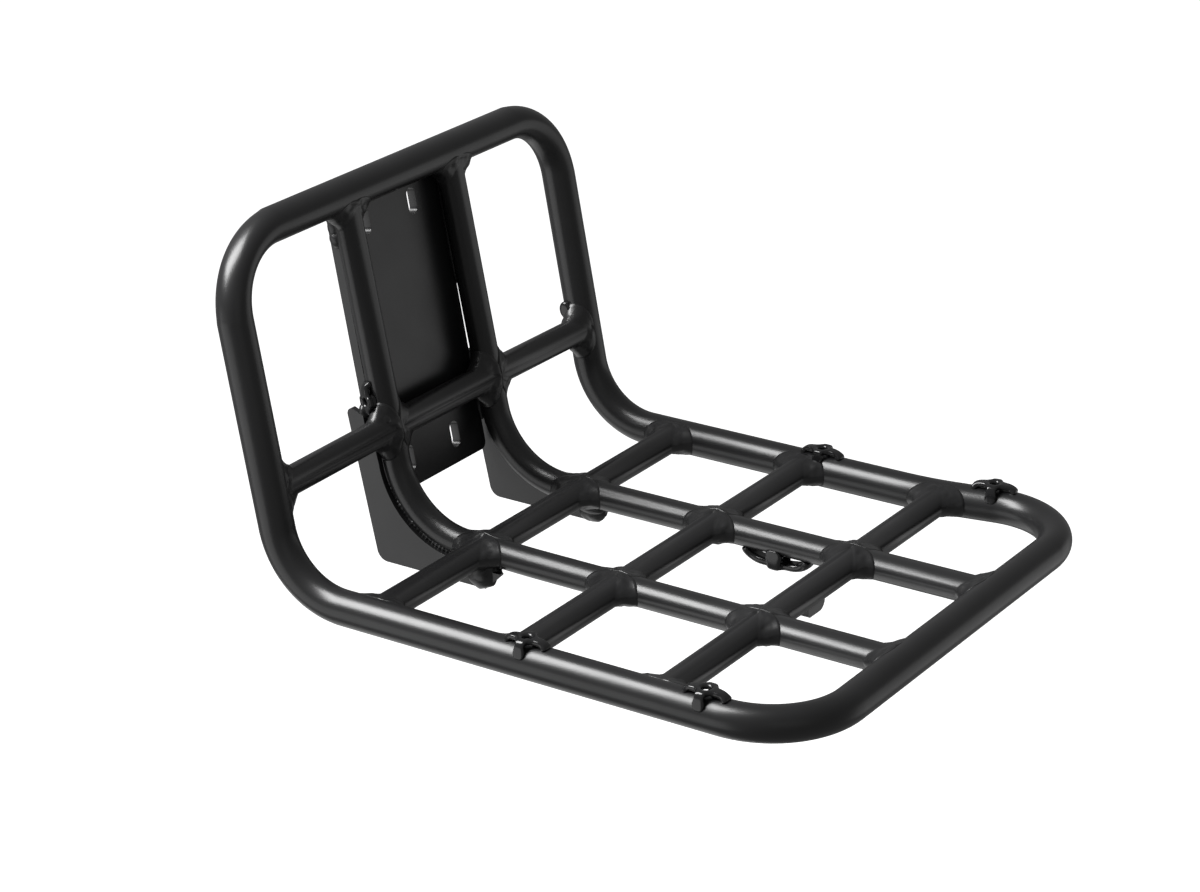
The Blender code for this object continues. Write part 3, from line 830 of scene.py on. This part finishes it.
def build_anchor(name, seat_point, ways, tube, reaches, rise, wraps,
                 half=ANCHOR_LEG_HALF, thick=ANCHOR_THICK):
    """Ring on four legs: two along the tube and two down its sides."""
    long_way, wide_way, out_way = ways
    top = tube + rise
    sides = ANCHOR_SIDES
    points = []
    faces = []

    def add(along, across, height):
        points.append(seat_point + long_way * along + wide_way * across + out_way * height)
        return len(points) - 1

    def circle(radius, height):
        ids = []
        for k in range(sides):
            angle = math.tau * (k + 0.5) / sides
            ids.append(add(radius * math.cos(angle), radius * math.sin(angle), height))
        return ids

    middle = (ANCHOR_HOLE + ANCHOR_RING) / 2.0
    stack = [
        circle(ANCHOR_HOLE, top - RING_LIP),
        circle(middle, top + RING_CROWN),
        circle(ANCHOR_RING, top),
    ]
    under = [circle(ANCHOR_HOLE, top - thick), circle(ANCHOR_RING, top - thick)]
    rim = (stack[2], under[1])
    for k in range(sides):
        n = (k + 1) % sides
        faces.append((stack[0][k], stack[1][k], stack[1][n], stack[0][n]))
        faces.append((stack[1][k], stack[2][k], stack[2][n], stack[1][n]))
        faces.append((under[0][k], under[0][n], under[1][n], under[1][k]))
        faces.append((stack[0][k], stack[0][n], under[0][n], under[0][k]))
        if k % 4 == 1:
            faces.append((rim[0][k], rim[1][k], rim[1][n], rim[0][n]))
    for quarter in range(4):
        turn = math.tau * quarter / 4
        cos, sin = round(math.cos(turn)), round(math.sin(turn))
        wide = quarter % 2 == 1
        share = wraps[0] if quarter == 1 else wraps[1]
        reach = reaches[0] if quarter == 0 else reaches[1]
        length = share * tube if wide else reach
        start = [(quarter * 4 - 2 + j) % sides for j in range(4)]
        last = [[rim[0][k] for k in start], [rim[1][k] for k in start]]
        stations = [leg_rows(tube, top, length, wide, u, half, thick) for u in (True, False)]
        for upper_row, lower_row in zip(*stations):
            fresh = []
            for row in (upper_row, lower_row):
                fresh.append([add(d * cos - w * sin, d * sin + w * cos, z) for d, w, z in row])
            for j in range(3):
                faces.append((last[0][j], fresh[0][j], fresh[0][j + 1], last[0][j + 1]))
                faces.append((last[1][j], last[1][j + 1], fresh[1][j + 1], fresh[1][j]))
            for j in (0, 3):
                faces.append((last[0][j], last[1][j], fresh[1][j], fresh[0][j]))
            last = fresh
        for j in range(3):
            faces.append((last[0][j], last[1][j], last[1][j + 1], last[0][j + 1]))
    thing = add_piece(name + "_body", points, faces, GLOSS, [name])
    soften(thing, ANCHOR_SMOOTHING)


def build_anchors():
    rail_legs = (ANCHOR_LONG, ANCHOR_LONG)
    deck_legs = (DECK_ANCHOR_LONG, DECK_ANCHOR_LONG)
    for row, x in RAIL_ANCHORS.items():
        inward = SHORT_WRAP if row == "rear" else LEG_WRAP
        y, slope = far_rail(x)
        way = Vector((1.0, slope, 0.0)).normalized()
        near_ways = (ALONG, ACROSS, VERTICAL)
        far_ways = (way, VERTICAL.cross(way), VERTICAL)
        build_anchor(f"near_rail_{row}_anchor", on_deck(x, -HALF_WIDTH), near_ways,
                     LOOP_RADIUS, rail_legs, ANCHOR_RISE, (inward, LEG_WRAP))
        build_anchor(f"far_rail_{row}_anchor", on_deck(x, y), far_ways,
                     LOOP_RADIUS, rail_legs, ANCHOR_RISE, (LEG_WRAP, inward))
    cos, sin = math.cos(UPRIGHT_ANCHOR_TURN), math.sin(UPRIGHT_ANCHOR_TURN)
    out = -(ACROSS * cos + FORWARD * sin)
    seat = on_upright(UPRIGHT_ANCHOR, LEFT_UPRIGHT, inner_depth(UPRIGHT_ANCHOR))
    build_anchor("left_upright_anchor", seat, (UP, UP.cross(-out), out), INNER_RADIUS,
                 UPRIGHT_ANCHOR_LEGS, ANCHOR_RISE, (LEG_WRAP, UPRIGHT_FRONT_WRAP))
    build_anchor("under_deck_anchor", on_deck(DECK_ANCHOR_X, INNER_RIGHT),
                 (ALONG, ACROSS, -VERTICAL), INNER_RADIUS, deck_legs, DECK_ANCHOR_RISE,
                 (LEG_WRAP, LEG_WRAP), DECK_ANCHOR_LEG_HALF, DECK_ANCHOR_THICK)


# ---------------------------------------------------------------- weld lumps

def add_lump(name, centre, axes, sizes):
    """Rounded, uneven deposit of weld; sizes are its half lengths along axes."""
    rings = LUMP_RINGS
    points = [centre - axes[2] * sizes[2]]
    for i in range(1, rings):
        lift = -math.pi / 2.0 + math.pi * i / rings
        for k in range(LUMP_SIDES):
            turn = math.tau * k / LUMP_SIDES
            arm = axes[0] * (sizes[0] * math.cos(turn) * math.cos(lift))
            arm += axes[1] * (sizes[1] * math.sin(turn) * math.cos(lift))
            arm += axes[2] * (sizes[2] * math.sin(lift))
            place = centre + arm
            swell = 1.0
            for scale, share in LUMP_SWELLS:
                swell += share * noise.noise(place * scale)
            points.append(centre + arm * swell)
    points.append(centre + axes[2] * sizes[2])
    faces = []
    for k in range(LUMP_SIDES):
        n = (k + 1) % LUMP_SIDES
        faces.append((0, 1 + k, 1 + n))
        for i in range(rings - 2):
            a, b = 1 + i * LUMP_SIDES, 1 + (i + 1) * LUMP_SIDES
            faces.append((a + k, a + n, b + n, b + k))
        last = 1 + (rings - 2) * LUMP_SIDES
        faces.append((last + k, last + n, len(points) - 1))
    add_piece(name, points, faces, COAT)


def add_seam(name, path, radius):
    """Uneven run of weld laid along a path, tapered at both ends."""
    points = []
    ways = tangents(path, False)
    last = len(path) - 1
    side = ways[0].orthogonal().normalized()
    for i, (point, way) in enumerate(zip(path, ways)):
        side = (side - way * side.dot(way)).normalized()
        other = way.cross(side)
        taper = min(1.0, SEAM_TIP + SEAM_TAPER * min(i, last - i) / (0.5 * last))
        dab = 1.0 + SEAM_DAB_RISE * math.cos(math.tau * i / SEAM_DAB)
        swell = 1.0 + SEAM_SWELL[1] * noise.noise(point * SEAM_SWELL[0])
        for k in range(SEAM_SIDES):
            angle = math.tau * k / SEAM_SIDES
            arm = side * math.cos(angle) + other * math.sin(angle)
            points.append(point + arm * radius * taper * dab * swell)
    faces = skin(len(path), False, SEAM_SIDES)
    close_ends(points, faces, SEAM_SIDES)
    add_piece(name, points, faces, COAT)


def plate_path(low, high, y):
    """Straight path up the plate's front face."""
    start = on_upright(low, y, PLATE_FRONT)
    stop = on_upright(high, y, PLATE_FRONT)
    count = round((stop - start).length / SEAM_STEP)
    return [start.lerp(stop, i / count) for i in range(count + 1)]


def gusset_path(edges, y_deck, y_upright):
    """Path along a gusset's curved edge, where it lies against its tube."""
    path = []
    for i, (x, z) in enumerate(bend_edge(*edges, SEAM_STEPS)):
        path.append(on_deck(x, y_deck + (y_upright - y_deck) * i / SEAM_STEPS, z))
    return path


def build_gusset_lumps():
    """Lumps where the gussets end under the rear joints."""
    axes = (ALONG, ACROSS, VERTICAL)
    left_y, _ = left_inner(DECK_ROWS["rear"])
    for name, y, tube_y in (("left", -GUSSET_Y, left_y), ("right", GUSSET_Y, INNER_RIGHT)):
        end = on_deck(GUSSET_END_X, y, GUSSET_END_Z)
        add_lump(f"weld_{name}_gusset_end", end, axes, GUSSET_END_SIZES)
        joint = on_deck(GUSSET_JOINT_X, (y + tube_y) / 2.0, GUSSET_JOINT_Z)
        add_lump(f"weld_{name}_gusset_joint", joint, axes, GUSSET_JOINT_SIZES)


def build_plate_welds():
    """Stacked lumps at the plate's left top corner, and welds beside both inner tubes."""
    axes = (ACROSS, FORWARD, UP)
    for i, height in enumerate(STACK_HEIGHTS):
        place = on_upright(height, STACK_Y, STACK_DEPTH)
        add_lump(f"weld_plate_left_{i}", place, axes, STACK_SIZES)
    add_lump("weld_plate_right_low", on_upright(*PLATE_LOW_PLACE), axes, PLATE_LOW_SIZES)
    add_seam("weld_plate_left", plate_path(*LEFT_PLATE_RUN), LEFT_PLATE_BEAD)
    add_seam("weld_plate_right", plate_path(*RIGHT_PLATE_RUN), RIGHT_PLATE_BEAD)


def build_gusset_runs():
    """Run of weld along each gusset's curved edge; the left one is deep in its groove."""
    groove = [edge - LEFT_GROOVE for edge in GUSSET_EDGES[-1.0]]
    add_seam("weld_left_gusset", gusset_path(groove, *LEFT_GUSSET_RUN), LEFT_GUSSET_BEAD)
    right = gusset_path(GUSSET_EDGES[1.0], *RIGHT_GUSSET_RUN)
    add_seam("weld_right_gusset", right, RIGHT_GUSSET_BEAD)


def build_upright_welds():
    """Lumps on the left upright, beside the cross tube's joint and at the gusset's top."""
    axes = (ACROSS, FORWARD, UP)
    joint = on_upright(*UPRIGHT_JOINT_PLACE)
    add_lump("weld_left_upright_joint", joint, axes, UPRIGHT_JOINT_SIZES)
    add_lump("weld_left_gusset_top", on_upright(*GUSSET_CAP_PLACE), axes, GUSSET_CAP_SIZES)


build_loop()
build_inner_tubes()
build_cross_tubes()
build_plate()
build_gusset("left_gusset", -1.0)
build_gusset("right_gusset", 1.0)
build_lug()
build_ear()
build_anchors()
build_gusset_lumps()
build_plate_welds()
build_gusset_runs()
build_upright_welds()


# ---------------------------------------------------------------- studio

# Camera, round a point above the deck
AZIMUTH = -0.9750614
ELEVATION = 0.3907540
ROLL = -0.0127506
LOOK_AT = on_deck(0.15, 0.0, 0.06)
CAMERA_SHIFT = (-0.0308744, 0.0088907, 2.02109)     # right, up and back
LENS = 99.6387

FLOOR_LEVEL = -1.3
FLOOR_SIZE = 14.0
FLOOR_GLOW = 0.9
SURROUNDINGS = 0.22
LIGHT_AT = on_deck(0.15, 0.0, 0.05)
# Name, way towards the light, distance, width and height, radiance
SOFTBOXES = (
    ("key", (-0.519, -0.408, 0.751), 1.7, (0.80, 1.25), 19.0),
    ("left_fill", (-0.519, -0.765, -0.30), 2.2, (2.2, 1.4), 1.0),
    ("right_fill", (0.60, 0.765, -0.25), 2.2, (1.8, 1.4), 0.5),
    ("low_fill", (-0.52, 0.12, -0.85), 1.1, (1.0, 0.9), 0.72),
    ("front_fill", (0.75, -0.60, 0.25), 2.6, (1.6, 1.2), 0.12),
)


def build_camera():
    """Seen from the near front, a little above, through a long lens."""
    level = math.cos(ELEVATION)
    back = Vector((math.cos(AZIMUTH) * level, math.sin(AZIMUTH) * level, math.sin(ELEVATION)))
    flat_right = VERTICAL.cross(back).normalized()
    flat_top = back.cross(flat_right)
    right = flat_right * math.cos(ROLL) + flat_top * math.sin(ROLL)
    top = flat_top * math.cos(ROLL) - flat_right * math.sin(ROLL)
    place = LOOK_AT + right * CAMERA_SHIFT[0] + top * CAMERA_SHIFT[1] + back * CAMERA_SHIFT[2]
    camera = bpy.data.cameras.new("camera")
    camera.sensor_fit = "HORIZONTAL"
    camera.sensor_width = 36.0
    camera.lens = LENS
    thing = bpy.data.objects.new("camera", camera)
    bpy.context.scene.collection.objects.link(thing)
    thing.matrix_world = Matrix((
        (right.x, top.x, back.x, place.x),
        (right.y, top.y, back.y, place.y),
        (right.z, top.z, back.z, place.z),
        (0.0, 0.0, 0.0, 1.0),
    ))
    bpy.context.scene.camera = thing


def softbox(name, way, distance, size, radiance):
    """Rectangular soft light that faces the object; radiance sets its brightness."""
    lamp = bpy.data.lights.new(name, "AREA")
    lamp.shape = "RECTANGLE"
    lamp.size, lamp.size_y = size
    lamp.energy = radiance * math.pi * size[0] * size[1]
    thing = bpy.data.objects.new(name, lamp)
    bpy.context.scene.collection.objects.link(thing)
    way = Vector(way).normalized()
    thing.location = LIGHT_AT + way * distance
    thing.rotation_mode = "QUATERNION"
    thing.rotation_quaternion = (-way).to_track_quat("-Z", "Y")
    thing.visible_camera = False


def build_floor():
    """Plain pale floor, well below, that neither shows in the coat nor lights it."""
    shape = bmesh.new()
    bmesh.ops.create_grid(shape, x_segments=1, y_segments=1, size=FLOOR_SIZE)
    mesh = bpy.data.meshes.new("floor")
    shape.to_mesh(mesh)
    shape.free()
    floor = bpy.data.objects.new("floor", mesh)
    floor.location = (0.0, 0.0, FLOOR_LEVEL)
    bpy.context.scene.collection.objects.link(floor)
    paper = bpy.data.materials.new("pale_floor")
    paper.use_nodes = True
    shader = paper.node_tree.nodes["Principled BSDF"]
    shader.inputs["Base Color"].default_value = (0.9, 0.9, 0.9, 1.0)
    shader.inputs["Roughness"].default_value = 0.9
    shader.inputs["Emission Color"].default_value = (1.0, 1.0, 1.0, 1.0)
    shader.inputs["Emission Strength"].default_value = FLOOR_GLOW
    mesh.materials.append(paper)
    floor.visible_glossy = False
    floor.visible_diffuse = False


def build_lighting():
    """Dim white surroundings, and the softboxes."""
    world = bpy.data.worlds.new("studio")
    world.use_nodes = True
    sky = world.node_tree.nodes["Background"]
    sky.inputs["Color"].default_value = (1.0, 1.0, 1.0, 1.0)
    sky.inputs["Strength"].default_value = SURROUNDINGS
    bpy.context.scene.world = world
    for name, way, distance, size, radiance in SOFTBOXES:
        softbox(name, way, distance, size, radiance)


build_camera()
build_floor()
build_lighting()
bpy.context.scene.view_settings.view_transform = "Standard"
